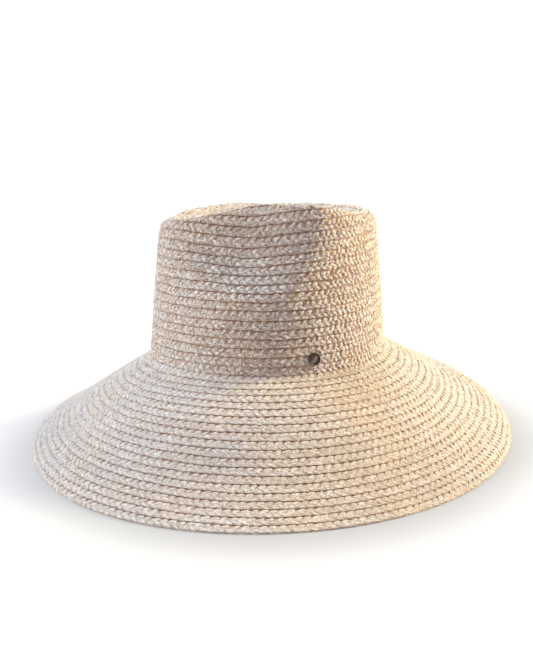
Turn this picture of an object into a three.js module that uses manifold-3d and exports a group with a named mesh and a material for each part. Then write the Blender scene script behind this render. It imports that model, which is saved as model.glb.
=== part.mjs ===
// Straw hat: oval crown with a pushed-in front, wide drooping brim, small metal stud.
// Millimetres, +Z up. Front of the hat faces -Y. It rests on the hem of its brim at z = 0.
import * as THREE from 'three';
import { mergeVertices } from 'three/addons/utils/BufferGeometryUtils.js';
import Module from 'manifold-3d';

const wasm = await Module();
wasm.setup();

// ---- driving sizes ----------------------------------------------------------
const HEAD_HALF_WIDTH = 87;         // outside of the crown's foot, left-right
const HEAD_HALF_LENGTH = 100.05;    // outside of the crown's foot, front-back
const WALL = 2.4;                   // sewn braid, two overlapping layers
const GAP = 0.3;                    // clearance between neighbouring pieces
const BRIM_ROWS = 20;
const BRIM_ROW_PITCH = 6.257;       // visible width of one braid row on the brim
const RIM_DROP = 65.11;             // from the crown's foot down to the hem
const HEM_EDGE = 1.4;               // upright edge of the hem row
const HEM_FLAT = 3.2;               // flat ring that rests on the surface
const TOP_DISH = 14;                // how far the middle of the crown's top sinks
const TOP_CENTRE = new THREE.Vector2(0, 6);
const AROUND = 80;                  // facets around the hat
const STUD_RADIUS = 4.6;
const POST_RADIUS = 1.5;
const WASHER_RADIUS = 3.5;

// Crown foot line: height over one turn. Columns: term, across (cos), along (sin)
const FOOT_WAVE = [
  { turns: 1, cos: 2.284, sin: -3.960 },
  { turns: 2, cos: -0.030, sin: 1.729 },
];
// Crown wall: inward lean in radians. Columns: mean, across, along, more per 10 rows
const CROWN_LEAN = { mean: 0.0702, across: -0.0235, along: -0.0156, perArc: 0.0147 / 63.9 };
// Brim slope below level, in radians, at five stations from foot to hem.
// Columns: mean, left-right (cos), front-back (sin), twice round (cos2, sin2)
const BRIM_SLOPE = [
  { mean: 0.5012, cos: -0.0293, sin: -0.0175, cos2: 0.0341, sin2: -0.0073 },
  { mean: 0.3580, cos: 0.0483, sin: -0.0347, cos2: 0.2552, sin2: -0.0185 },
  { mean: 1.0080, cos: -0.0398, sin: -0.4870, cos2: -0.0251, sin2: -0.0658 },
  { mean: 0.1833, cos: -0.2436, sin: -0.0806, cos2: 0.1394, sin2: -0.1786 },
  { mean: 0.7275, cos: 0.1114, sin: -0.0398, cos2: 0.3911, sin2: 0.1281 },
];
// Dent in the front wall. Columns: arc above the foot, left and right edge
// (degrees from the front, right positive), depth, softness of each edge
const DENT = [
  { arc: 52, left: -28, right: 4, depth: 0.0, softLeft: 0.50, softRight: 0.30 },
  { arc: 57, left: -32, right: 10, depth: 2.4, softLeft: 0.48, softRight: 0.27 },
  { arc: 63, left: -35, right: 15, depth: 5.4, softLeft: 0.46, softRight: 0.23 },
  { arc: 70, left: -39, right: 19, depth: 8.6, softLeft: 0.44, softRight: 0.19 },
  { arc: 78, left: -44, right: 22, depth: 11.8, softLeft: 0.42, softRight: 0.16 },
  { arc: 89, left: -52, right: 26, depth: 15.2, softLeft: 0.38, softRight: 0.12 },
  { arc: 104, left: -58, right: 29, depth: 19.6, softLeft: 0.35, softRight: 0.08 },
  { arc: 120, left: -60, right: 30, depth: 24.0, softLeft: 0.35, softRight: 0.06 },
];
// Top edge of the crown. Columns: degrees from the front, height above the foot,
// radius of the shoulder
const TOP_EDGE = [
  { angle: -180, height: 98.5, shoulder: 9 },
  { angle: -155, height: 103, shoulder: 9.5 },
  { angle: -127, height: 103.8, shoulder: 12 },
  { angle: -105, height: 101.5, shoulder: 15 },
  { angle: -80, height: 102.5, shoulder: 15 },
  { angle: -55, height: 105, shoulder: 9.5 },
  { angle: -35, height: 108.3, shoulder: 6 },
  { angle: -20, height: 110.8, shoulder: 5 },
  { angle: -5, height: 113.6, shoulder: 4.5 },
  { angle: 10, height: 114.4, shoulder: 4.5 },
  { angle: 25, height: 115, shoulder: 5 },
  { angle: 35, height: 113.2, shoulder: 7 },
  { angle: 45, height: 110.6, shoulder: 9.5 },
  { angle: 60, height: 106, shoulder: 13 },
  { angle: 75, height: 103, shoulder: 15 },
  { angle: 95, height: 100, shoulder: 14 },
  { angle: 130, height: 97, shoulder: 11 },
  { angle: 180, height: 98.5, shoulder: 9 },
];
const STUD_AT = { angle: 21.5, arc: 10.4 };   // degrees from the front, arc above the foot

// ---- helpers ----------------------------------------------------------------
// Monotone cubic through a table's column, with the table's first column as x
function column(table, key, value) {
  const xs = table.map((row) => row[Object.keys(row)[0]]);
  const ys = table.map((row) => row[key]);
  const n = xs.length;
  const h = [], d = [], m = new Array(n).fill(0);
  for (let i = 0; i < n - 1; i++) { h.push(xs[i + 1] - xs[i]); d.push((ys[i + 1] - ys[i]) / h[i]); }
  for (let i = 1; i < n - 1; i++) {
    if (d[i - 1] * d[i] > 0) {
      const a = 2 * h[i] + h[i - 1], b = h[i] + 2 * h[i - 1];
      m[i] = (a + b) / (a / d[i - 1] + b / d[i]);
    }
  }
  const end = (h0, h1, d0, d1) => {
    let s = ((2 * h0 + h1) * d0 - h0 * d1) / (h0 + h1);
    if (s * d0 <= 0) s = 0;
    else if (d0 * d1 < 0 && Math.abs(s) > 3 * Math.abs(d0)) s = 3 * d0;
    return s;
  };
  m[0] = end(h[0], h[1], d[0], d[1]);
  m[n - 1] = end(h[n - 2], h[n - 3], d[n - 2], d[n - 3]);
  const x = Math.min(Math.max(value, xs[0]), xs[n - 1]);
  let i = 0;
  while (i < n - 2 && x > xs[i + 1]) i++;
  const t = (x - xs[i]) / h[i], t2 = t * t, t3 = t2 * t;
  return (2 * t3 - 3 * t2 + 1) * ys[i] + (t3 - 2 * t2 + t) * h[i] * m[i]
    + (-2 * t3 + 3 * t2) * ys[i + 1] + (t3 - t2) * h[i] * m[i + 1];
}
const smooth = (x) => { const u = Math.min(Math.max(x, 0), 1); return u * u * (3 - 2 * u); };
const fromFront = (turn) => ((turn * 180 / Math.PI + 90 + 180) % 360 + 360) % 360 - 180;

// ---- the crown's foot: an oval with a slow wave in height --------------------
function foot(turn) {
  const at = new THREE.Vector2(HEAD_HALF_WIDTH * Math.cos(turn), HEAD_HALF_LENGTH * Math.sin(turn));
  const out = new THREE.Vector2(Math.cos(turn) / HEAD_HALF_WIDTH, Math.sin(turn) / HEAD_HALF_LENGTH).normalize();
  let z = 0;
  for (const w of FOOT_WAVE) z += w.cos * Math.cos(w.turns * turn) + w.sin * Math.sin(w.turns * turn);
  return { at, out, z };
}

// ---- brim: top surface from foot to hem, one point per row -------------------
function brimLine(turn) {
  const { at, out, z } = foot(turn);
  const slope = BRIM_SLOPE.map((s) => s.mean + s.cos * Math.cos(turn) + s.sin * Math.sin(turn)
    + s.cos2 * Math.cos(2 * turn) + s.sin2 * Math.sin(2 * turn));
  const steps = BRIM_ROWS * 4, step = BRIM_ROW_PITCH / 4;
  const run = [0], drop = [0];
  for (let k = 0; k < steps; k++) {
    const t = (k + 0.5) / steps, u = 1 - t;
    const a = u ** 4 * slope[0] + 4 * t * u ** 3 * slope[1] + 6 * t * t * u * u * slope[2]
      + 4 * t ** 3 * u * slope[3] + t ** 4 * slope[4];
    run.push(run[k] + step * Math.cos(a));
    drop.push(drop[k] + step * Math.sin(a));
  }
  const off = z - drop[steps] + RIM_DROP;      // the hem lies in one level plane
  return run.map((r, k) => {
    const t = k / steps;
    return new THREE.Vector3(at.x + out.x * r, at.y + out.y * r, z - drop[k] - off * t * t);
  });
}

// ---- crown: how far the wall is pushed in, and its upright profile -----------
function push(angle, arc) {
  const a = Math.min(Math.max(arc, DENT[0].arc), DENT[DENT.length - 1].arc);
  const [left, right, depth, sl, sr] = ['left', 'right', 'depth', 'softLeft', 'softRight'].map((k) => column(DENT, k, a));
  const u = (angle - left) / (right - left), x = 4 * u * (1 - u), w = smooth(u);
  const k = sl * (1 - w) + sr * w;
  const y = 0.5 * (x + Math.sqrt(x * x + k * k)), y0 = 0.5 * (1 + Math.sqrt(1 + k * k));
  const beyond = Math.max(0, Math.abs(u - 0.5) - 0.5) / 0.35;
  return depth * (y / y0) * Math.exp(-beyond * beyond);
}
function crownLine(turn) {
  const base = foot(turn), angle = fromFront(turn);
  const lean = CROWN_LEAN.mean + CROWN_LEAN.across * Math.cos(turn) + CROWN_LEAN.along * Math.sin(turn);
  const inward = [push(angle, 0)], rise = [0];
  let leaned = 0;
  for (let a = 1; a <= 130; a++) {
    leaned += Math.sin(lean + CROWN_LEAN.perArc * (a - 0.5));
    inward.push(leaned + push(angle, a));
    const dr = inward[a] - inward[a - 1];
    rise.push(rise[a - 1] + Math.sqrt(Math.max(1 - dr * dr, 0.05)));   // arc length kept
  }
  const read = (list, a) => { const i = Math.min(Math.floor(a), 129); return list[i] + (list[i + 1] - list[i]) * (a - i); };
  const height = column(TOP_EDGE, 'height', angle), shoulder = column(TOP_EDGE, 'shoulder', angle);
  let edge = 1;
  while (edge < 129 && rise[edge] < height + 0.12 * shoulder) edge++;
  edge -= (rise[edge] - height - 0.12 * shoulder) / (rise[edge] - rise[edge - 1]);
  return { base, inward: (a) => read(inward, a), rise: (a) => read(rise, a), edge, shoulder };
}

const WALL_RINGS = 11, SHOULDER_RINGS = 3, TOP_RINGS = 5;
function crownOutside(turns) {
  const lines = turns.map(crownLine);
  const corners = lines.map((l) => {
    const a = l.edge - l.shoulder;
    const t = new THREE.Vector2(l.inward(a) - l.inward(a - 0.5), l.rise(a) - l.rise(a - 0.5)).normalize();
    const inward = l.inward(a) + t.x * l.shoulder;
    return new THREE.Vector3(l.base.at.x - l.base.out.x * inward, l.base.at.y - l.base.out.y * inward,
      l.base.z + l.rise(a) + t.y * l.shoulder);
  });
  const middle = corners.reduce((s, c) => s + c.z, 0) / corners.length - TOP_DISH;
  const onTop = (i, rho) => new THREE.Vector3(
    TOP_CENTRE.x + (corners[i].x - TOP_CENTRE.x) * rho,
    TOP_CENTRE.y + (corners[i].y - TOP_CENTRE.y) * rho,
    middle + (corners[i].z - middle) * rho ** 2.2);
  const rings = [];
  for (let k = 0; k <= WALL_RINGS; k++) {
    rings.push(lines.map((l) => {
      const a = (l.edge - l.shoulder) * k / WALL_RINGS, r = l.inward(a);
      return new THREE.Vector3(l.base.at.x - l.base.out.x * r, l.base.at.y - l.base.out.y * r, l.base.z + l.rise(a));
    }));
  }
  const low = rings[WALL_RINGS];
  const rho = corners.map((c, i) => 1 - lines[i].shoulder / Math.hypot(c.x - TOP_CENTRE.x, c.y - TOP_CENTRE.y));
  for (let k = 1; k <= SHOULDER_RINGS; k++) {
    const t = k / SHOULDER_RINGS;
    rings.push(low.map((p, i) => new THREE.Vector3()
      .addScaledVector(p, (1 - t) ** 2).addScaledVector(corners[i], 2 * t * (1 - t)).addScaledVector(onTop(i, rho[i]), t * t)));
  }
  for (let k = 1; k < TOP_RINGS; k++) rings.push(low.map((p, i) => onTop(i, rho[i] * (1 - k / TOP_RINGS))));
  return { rings, pole: new THREE.Vector3(TOP_CENTRE.x, TOP_CENTRE.y, middle) };
}

// Offset of a ring grid to its inner side, along the grid's own normals
function offsetRings(rings, pole, by) {
  const n = rings[0].length;
  return rings.map((ring, k) => ring.map((p, i) => {
    const side = new THREE.Vector3().subVectors(ring[(i + 1) % n], ring[(i + n - 1) % n]);
    const above = k < rings.length - 1 ? rings[k + 1][i] : (pole ?? p);
    const below = k > 0 ? rings[k - 1][i] : p;
    const up = new THREE.Vector3().subVectors(above, below);
    const normal = side.cross(up).normalize();
    return p.clone().addScaledVector(normal, -by);
  }));
}

// ---- closed meshes from rings -------------------------------------------------
function fromRings(rings, { closed = false, firstPole = null, lastPole = null } = {}) {
  const n = rings[0].length, points = [], index = [];
  for (const ring of rings) for (const p of ring) points.push(p.x, p.y, p.z);
  const at = (k, i) => k * n + (i % n);
  const spans = closed ? rings.length : rings.length - 1;
  for (let k = 0; k < spans; k++) {
    const next = (k + 1) % rings.length;
    for (let i = 0; i < n; i++) index.push(at(k, i), at(k, i + 1), at(next, i + 1), at(k, i), at(next, i + 1), at(next, i));
  }
  const cap = (pole, k, flip) => {
    const c = points.length / 3;
    points.push(pole.x, pole.y, pole.z);
    for (let i = 0; i < n; i++) { if (flip) index.push(c, at(k, i + 1), at(k, i)); else index.push(c, at(k, i), at(k, i + 1)); }
  };
  if (firstPole) cap(firstPole, 0, true);
  if (lastPole) cap(lastPole, rings.length - 1, false);
  const g = new THREE.BufferGeometry();
  g.setAttribute('position', new THREE.Float32BufferAttribute(points, 3));
  g.setIndex(index);
  return g;
}
function toManifold(geometry) {
  const g = geometry.clone();
  g.deleteAttribute('normal');
  g.deleteAttribute('uv');
  const m = mergeVertices(g, 1e-4);
  return new wasm.Manifold(new wasm.Mesh({
    numProp: 3,
    vertProperties: new Float32Array(m.attributes.position.array),
    triVerts: new Uint32Array(m.index.array),
  }));
}
function toGeometry(solid) {
  const mesh = solid.getMesh();
  const g = new THREE.BufferGeometry();
  g.setAttribute('position', new THREE.BufferAttribute(new Float32Array(mesh.vertProperties), 3));
  g.setIndex(new THREE.BufferAttribute(new Uint32Array(mesh.triVerts), 1));
  g.computeVertexNormals();
  return g;
}

const turns = Array.from({ length: AROUND }, (_, i) => -Math.PI / 2 + 2 * Math.PI * i / AROUND);

// ---- crown ----------------------------------------------------------------------
const { rings: outside, pole } = crownOutside(turns);
outside[0] = outside[0].map((p) => p.clone().add(new THREE.Vector3(0, 0, GAP / 2)));
const inside = offsetRings(outside, pole, WALL);
inside[0] = outside[0].map((p, i) => {
  const { out } = foot(turns[i]);
  return new THREE.Vector3(p.x - out.x * WALL, p.y - out.y * WALL, p.z);
});
const crownShell = fromRings([...inside.slice().reverse(), ...outside], {
  firstPole: pole.clone().add(new THREE.Vector3(0, 0, -WALL)), lastPole: pole,
});

// ---- stud placement --------------------------------------------------------------
const studTurn = (STUD_AT.angle - 90) * Math.PI / 180;
function wallPoint(turn, arc) {
  const l = crownLine(turn), r = l.inward(arc);
  return new THREE.Vector3(l.base.at.x - l.base.out.x * r, l.base.at.y - l.base.out.y * r, l.base.z + l.rise(arc));
}
const studSpot = wallPoint(studTurn, STUD_AT.arc);
const studNormal = new THREE.Vector3()
  .subVectors(wallPoint(studTurn + 0.02, STUD_AT.arc), wallPoint(studTurn - 0.02, STUD_AT.arc))
  .cross(new THREE.Vector3().subVectors(wallPoint(studTurn, STUD_AT.arc + 1), wallPoint(studTurn, STUD_AT.arc - 1)))
  .normalize();
const studSpin = new THREE.Quaternion().setFromUnitVectors(new THREE.Vector3(0, 1, 0), studNormal);

const hole = new THREE.CylinderGeometry(POST_RADIUS + GAP, POST_RADIUS + GAP, 12, 20);
hole.applyQuaternion(studSpin);
hole.translate(studSpot.x, studSpot.y, studSpot.z);
const crownGeometry = toGeometry(toManifold(crownShell).subtract(toManifold(hole)));

// ---- brim ------------------------------------------------------------------------
const lines = turns.map(brimLine);
const TOP_ROWS = [0, 1.5, 4, 6.5, 9, 11.5, 14, 16, 18, 20];
const UNDER_ROWS = [19.2, 17.5, 15, 12, 9, 6, 3, 0.75];
const topOf = (i, row) => lines[i][Math.round(row * 4)].clone();
const underOf = (i, row) => {
  const k = Math.round(row * 4), n = lines.length;
  const side = new THREE.Vector3().subVectors(lines[(i + 1) % n][k], lines[(i + n - 1) % n][k]);
  const down = new THREE.Vector3().subVectors(lines[i][Math.min(k + 2, BRIM_ROWS * 4)], lines[i][Math.max(k - 2, 0)]);
  const normal = down.cross(side).normalize();
  return lines[i][k].clone().addScaledVector(normal, -WALL);
};
const brimRings = [];
brimRings.push(turns.map((t, i) => {
  const f = foot(t);
  return new THREE.Vector3(f.at.x - f.out.x * WALL, f.at.y - f.out.y * WALL, f.z - GAP / 2);
}));
for (const row of TOP_ROWS) {
  brimRings.push(turns.map((t, i) => {
    const p = topOf(i, row);
    if (row === 0) p.z -= GAP / 2;
    return p;
  }));
}
const hemZ = brimRings[brimRings.length - 1][0].z - HEM_EDGE;
brimRings.push(brimRings[brimRings.length - 1].map((p) => new THREE.Vector3(p.x, p.y, hemZ)));
brimRings.push(turns.map((t, i) => {
  const f = foot(t), p = topOf(i, BRIM_ROWS);
  return new THREE.Vector3(p.x - f.out.x * HEM_FLAT, p.y - f.out.y * HEM_FLAT, hemZ);
}));
for (const row of UNDER_ROWS) brimRings.push(turns.map((t, i) => {
  const p = underOf(i, row);
  p.z = Math.max(p.z, hemZ + 0.25);
  return p;
}));
brimRings.push(turns.map((t) => {
  const f = foot(t);
  return new THREE.Vector3(f.at.x - f.out.x * WALL, f.at.y - f.out.y * WALL, f.z - GAP / 2 - WALL);
}));
// rings run foot -> hem over the top and back underneath: turn them so faces look out
const brimGeometry = toGeometry(toManifold(fromRings(brimRings.slice().reverse(), { closed: true })));

// ---- stud: dished cap, and a post with its washer ----------------------------------
const capProfile = [
  [0, 0], [STUD_RADIUS - 0.25, 0], [STUD_RADIUS, 0.25], [STUD_RADIUS, 1.05], [STUD_RADIUS - 0.3, 1.45],
  [STUD_RADIUS - 0.75, 1.55], [STUD_RADIUS - 1.15, 1.35], [STUD_RADIUS - 1.4, 0.95], [STUD_RADIUS - 1.75, 0.85],
  [STUD_RADIUS - 2.05, 1.1], [1.6, 1.3], [0.8, 1.42], [0, 1.46],
].map(([r, h]) => new THREE.Vector2(r, h));
const postLength = WALL + 2 * GAP + 0.1;
const postProfile = [
  [0, -GAP], [POST_RADIUS, -GAP], [POST_RADIUS, -GAP - postLength], [WASHER_RADIUS, -GAP - postLength],
  [WASHER_RADIUS, -GAP - postLength - 0.7], [WASHER_RADIUS - 0.3, -GAP - postLength - 0.95], [0, -GAP - postLength - 0.95],
].map(([r, h]) => new THREE.Vector2(r, h));
const capGeometry = toGeometry(toManifold(new THREE.LatheGeometry(capProfile, 36)));
const postGeometry = toGeometry(toManifold(new THREE.LatheGeometry(postProfile.reverse(), 24)));

// ---- assembly ------------------------------------------------------------------------
const straw = () => new THREE.MeshStandardMaterial({ color: 0xd9c6b0, roughness: 0.85, metalness: 0 });
const darkMetal = () => new THREE.MeshStandardMaterial({ color: 0x4a4039, roughness: 0.45, metalness: 0.9 });

const hat = new THREE.Group();
const add = (name, geometry, material) => {
  const mesh = new THREE.Mesh(geometry, material);
  mesh.name = name;
  hat.add(mesh);
  return mesh;
};
add('crown', crownGeometry, straw());
add('brim', brimGeometry, straw());
const cap = add('stud_cap', capGeometry, darkMetal());
cap.position.copy(studSpot).addScaledVector(studNormal, GAP);
cap.quaternion.copy(studSpin);
const post = add('stud_post', postGeometry, darkMetal());
post.position.copy(studSpot).addScaledVector(studNormal, GAP);
post.quaternion.copy(studSpin);

// rest on z = 0 with the middle of the footprint on the origin
hat.updateMatrixWorld(true);
const box = new THREE.Box3().setFromObject(hat, true);
const shift = new THREE.Vector3(-(box.min.x + box.max.x) / 2, -(box.min.y + box.max.y) / 2, -box.min.z);
for (const mesh of hat.children) mesh.position.add(shift);

export default hat;
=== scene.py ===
import bpy
import math
import numpy as np
from mathutils import Matrix, Vector


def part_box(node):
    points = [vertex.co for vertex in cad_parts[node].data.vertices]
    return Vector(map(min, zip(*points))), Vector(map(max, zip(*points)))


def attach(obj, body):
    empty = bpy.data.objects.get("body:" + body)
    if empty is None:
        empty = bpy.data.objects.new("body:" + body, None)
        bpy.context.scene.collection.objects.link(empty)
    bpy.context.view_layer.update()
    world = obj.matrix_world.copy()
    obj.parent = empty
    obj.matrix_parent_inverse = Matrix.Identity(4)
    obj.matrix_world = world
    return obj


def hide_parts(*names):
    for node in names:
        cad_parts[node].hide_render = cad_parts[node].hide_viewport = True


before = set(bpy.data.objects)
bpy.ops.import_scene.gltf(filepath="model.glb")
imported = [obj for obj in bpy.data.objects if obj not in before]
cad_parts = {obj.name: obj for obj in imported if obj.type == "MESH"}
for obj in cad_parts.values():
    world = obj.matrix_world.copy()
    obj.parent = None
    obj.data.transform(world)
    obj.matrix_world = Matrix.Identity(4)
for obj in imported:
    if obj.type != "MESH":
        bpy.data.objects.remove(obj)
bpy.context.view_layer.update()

RNG = np.random.default_rng(411)

# ---------------------------------------------------------------- the hat's form
# The same sizes and tables as the construction model, in millimetres.
HALF_W, HALF_L, WALL = 87.0, 100.05, 2.4
BRIM_ROWS, BRIM_PITCH, RIM_DROP, HEM_EDGE = 20, 6.257, 65.11, 1.4
TOP_DISH, TOP_CENTRE = 14.0, np.array([0.0, 6.0])
FOOT_WAVE = [(1, 2.284, -3.960), (2, -0.030, 1.729)]
LEAN, LEAN_C, LEAN_S, LEAN_ARC = 0.0702, -0.0235, -0.0156, 0.0147 / 63.9
SLOPE = np.array([
    [0.5012, -0.0293, -0.0175, 0.0341, -0.0073],
    [0.3580, 0.0483, -0.0347, 0.2552, -0.0185],
    [1.0080, -0.0398, -0.4870, -0.0251, -0.0658],
    [0.1833, -0.2436, -0.0806, 0.1394, -0.1786],
    [0.7275, 0.1114, -0.0398, 0.3911, 0.1281]])
# arc, left, right, depth, soft left, soft right
DENT = np.array([
    [52, -28, 4, 0.0, .50, .30], [57, -32, 10, 2.4, .48, .27], [63, -35, 15, 5.4, .46, .23],
    [70, -39, 19, 8.6, .44, .19], [78, -44, 22, 11.8, .42, .16], [89, -52, 26, 15.2, .38, .12],
    [104, -58, 29, 19.6, .35, .08], [120, -60, 30, 24.0, .35, .06]])
# angle, height, shoulder
EDGE = np.array([
    [-180, 98.5, 9], [-155, 103, 9.5], [-127, 103.8, 12], [-105, 101.5, 15], [-80, 102.5, 15], [-55, 105, 9.5],
    [-35, 108.3, 6], [-20, 110.8, 5], [-5, 113.6, 4.5], [10, 114.4, 4.5], [25, 115.0, 5], [35, 113.2, 7],
    [45, 110.6, 9.5], [60, 106, 13], [75, 103, 15], [95, 100, 14], [130, 97, 11], [180, 98.5, 9]])
# arc above the foot of each row line on the front wall
ROW_ARC = np.array([0, 6.1, 12.6, 18.9, 25.3, 31.4, 37.7, 44.6, 50.7, 56.9, 63.2, 69.8, 76.4, 82.8, 89.5,
                    97.0, 104.6, 111.9, 118.8, 125.6, 132.4])
CROWN_ROWS = 29
STUD_ANGLE, STUD_ARC, STUD_R = 21.5, 10.4, 4.6


def pchip(x, X, Y):
    """Monotone cubic through the columns of Y at X, as in the construction model."""
    X = np.asarray(X, float)
    Y = np.asarray(Y, float)
    if Y.ndim == 1:
        Y = Y[:, None]
    h = np.diff(X)[:, None]
    d = np.diff(Y, axis=0) / h
    m = np.zeros_like(Y)
    a, b = 2 * h[1:] + h[:-1], h[1:] + 2 * h[:-1]
    ok = d[:-1] * d[1:] > 0
    with np.errstate(divide="ignore", invalid="ignore"):
        m[1:-1] = np.where(ok, (a + b) / (a / d[:-1] + b / d[1:]), 0)

    def end(h0, h1, d0, d1):
        s = ((2 * h0 + h1) * d0 - h0 * d1) / (h0 + h1)
        s = np.where(s * d0 <= 0, 0, s)
        return np.where((d0 * d1 < 0) & (np.abs(s) > 3 * np.abs(d0)), 3 * d0, s)
    m[0], m[-1] = end(h[0], h[1], d[0], d[1]), end(h[-1], h[-2], d[-1], d[-2])
    x = np.clip(np.asarray(x, float), X[0], X[-1])
    i = np.clip(np.searchsorted(X, x, side="right") - 1, 0, len(X) - 2)
    hh = h[i, 0][..., None]
    t = ((x - X[i]) / h[i, 0])[..., None]
    return ((2 * t**3 - 3 * t**2 + 1) * Y[i] + (t**3 - 2 * t**2 + t) * hh * m[i]
            + (-2 * t**3 + 3 * t**2) * Y[i + 1] + (t**3 - t**2) * hh * m[i + 1])


def smooth(x):
    x = np.clip(x, 0, 1)
    return x * x * (3 - 2 * x)


def foot(th):
    at = np.stack([HALF_W * np.cos(th), HALF_L * np.sin(th)], -1)
    out = np.stack([np.cos(th) / HALF_W, np.sin(th) / HALF_L], -1)
    out /= np.linalg.norm(out, axis=-1, keepdims=True)
    z = sum(c * np.cos(k * th) + s * np.sin(k * th) for k, c, s in FOOT_WAVE)
    return at, out, z


SUB = 8                       # samples of the form per row
NT = 720                      # samples round the hat
TH = -np.pi + 2 * np.pi * np.arange(NT) / NT


def brim_form(extra=3):
    at, out, z = foot(TH)
    c = SLOPE @ np.stack([np.ones(NT), np.cos(TH), np.sin(TH), np.cos(2 * TH), np.sin(2 * TH)])
    n, step = BRIM_ROWS * SUB, BRIM_PITCH / SUB
    run, drop = [np.zeros(NT)], [np.zeros(NT)]
    for k in range(n):
        t = (k + .5) / n
        u = 1 - t
        a = u**4 * c[0] + 4 * t * u**3 * c[1] + 6 * t * t * u * u * c[2] + 4 * t**3 * u * c[3] + t**4 * c[4]
        run.append(run[-1] + step * np.cos(a))
        drop.append(drop[-1] + step * np.sin(a))
    run, drop = np.array(run), np.array(drop)
    t = (np.arange(n + 1) / n)[:, None]
    zz = z - drop - (z - drop[-1] + RIM_DROP) * t**2
    S = np.concatenate([at[None] + out[None] * run[..., None], zz[..., None]], -1)
    more = [S[-1] + (S[-1] - S[-2]) * (i + 1) for i in range(extra)]
    return np.concatenate([S, np.array(more)], 0)


def push(angle, arc):
    q = pchip(np.clip(arc, DENT[0, 0], DENT[-1, 0]), DENT[:, 0], DENT[:, 1:])
    left, right, depth, sl, sr = [q[..., i] for i in range(5)]
    u = (angle - left) / (right - left)
    x = 4 * u * (1 - u)
    w = smooth(u)
    k = sl * (1 - w) + sr * w
    y = .5 * (x + np.sqrt(x * x + k * k))
    y0 = .5 * (1 + np.sqrt(1 + k * k))
    beyond = np.maximum(0, np.abs(u - .5) - .5) / .35
    return depth * (y / y0) * np.exp(-beyond**2)


def crown_form():
    at, out, z = foot(TH)
    angle = (np.degrees(TH) + 90 + 180) % 360 - 180
    lean = LEAN + LEAN_C * np.cos(TH) + LEAN_S * np.sin(TH)
    q = pchip(angle, EDGE[:, 0], EDGE[:, 1:])
    H, RS = q[:, 0], q[:, 1]
    arc = np.arange(131.0)
    leaned = np.vstack([np.zeros(NT), np.cumsum(np.sin(lean[None] + LEAN_ARC * (arc[1:] - .5)[:, None]), 0)])
    inward = leaned + push(angle[None] + 0 * arc[:, None], arc[:, None] + 0 * angle[None])
    rise = np.vstack([np.zeros(NT), np.cumsum(np.sqrt(np.maximum(1 - np.diff(inward, axis=0)**2, .05)), 0)])
    E = np.array([np.interp(H[i] + .12 * RS[i], rise[:, i], arc) for i in range(NT)])

    def read(f, a):
        i = np.clip(a.astype(int), 0, 129)
        j = np.arange(NT)
        return f[i, j] + (f[i + 1, j] - f[i, j]) * (a - i)

    def wall(a):
        r = read(inward, a)
        return np.concatenate([at - out * r[:, None], (z + read(rise, a))[:, None]], -1)
    low = E - RS
    t = np.stack([read(inward, low) - read(inward, low - .5), read(rise, low) - read(rise, low - .5)], -1)
    t /= np.linalg.norm(t, axis=-1, keepdims=True)
    reach = read(inward, low) + t[:, 0] * RS
    corner = np.concatenate([at - out * reach[:, None], (z + read(rise, low) + t[:, 1] * RS)[:, None]], -1)
    mid = corner[:, 2].mean() - TOP_DISH
    flat = corner[:, :2] - TOP_CENTRE
    dist = np.linalg.norm(flat, axis=-1)

    def top(rho):
        return np.concatenate([TOP_CENTRE + flat * rho[:, None], (mid + (corner[:, 2] - mid) * rho**2.2)[:, None]], -1)
    rho1 = 1 - RS / dist
    line, rows = [], []
    for k in range(60):
        a = low * k / 59
        line.append(wall(a))
        rows.append(np.interp(a, ROW_ARC, np.arange(len(ROW_ARC))))
    p0, p2 = line[-1], top(rho1)
    tail = []
    for k in range(1, 13):
        s = k / 12
        tail.append((1 - s)**2 * p0 + 2 * s * (1 - s) * corner + s * s * p2)
    for k in range(1, 41):
        tail.append(top(rho1 * (1 - k / 40)))
    full = np.array([p0] + tail)
    length = np.vstack([np.zeros(NT), np.cumsum(np.linalg.norm(np.diff(full, axis=0), axis=-1), 0)])
    m0 = rows[-1]
    for k in range(1, len(full)):
        line.append(full[k])
        rows.append(m0 + (CROWN_ROWS - m0) * length[k] / length[-1])
    line, rows = np.array(line), np.array(rows)
    want = np.arange(CROWN_ROWS * SUB + 1) / SUB
    S = np.zeros((len(want), NT, 3))
    for i in range(NT):
        for c in range(3):
            S[:, i, c] = np.interp(want, rows[:, i], line[:, i, c])
    return S


def normals(S, up):
    """Unit normals of a form grid [row, turn, xyz]; up is +1 where rows climb, -1 where they descend."""
    du = np.roll(S, -1, 1) - np.roll(S, 1, 1)
    dr = np.gradient(S, axis=0)
    n = np.cross(du, dr) * up
    ln = np.linalg.norm(n, axis=-1, keepdims=True)
    n = n / np.maximum(ln, 1e-9)
    return n


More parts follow.
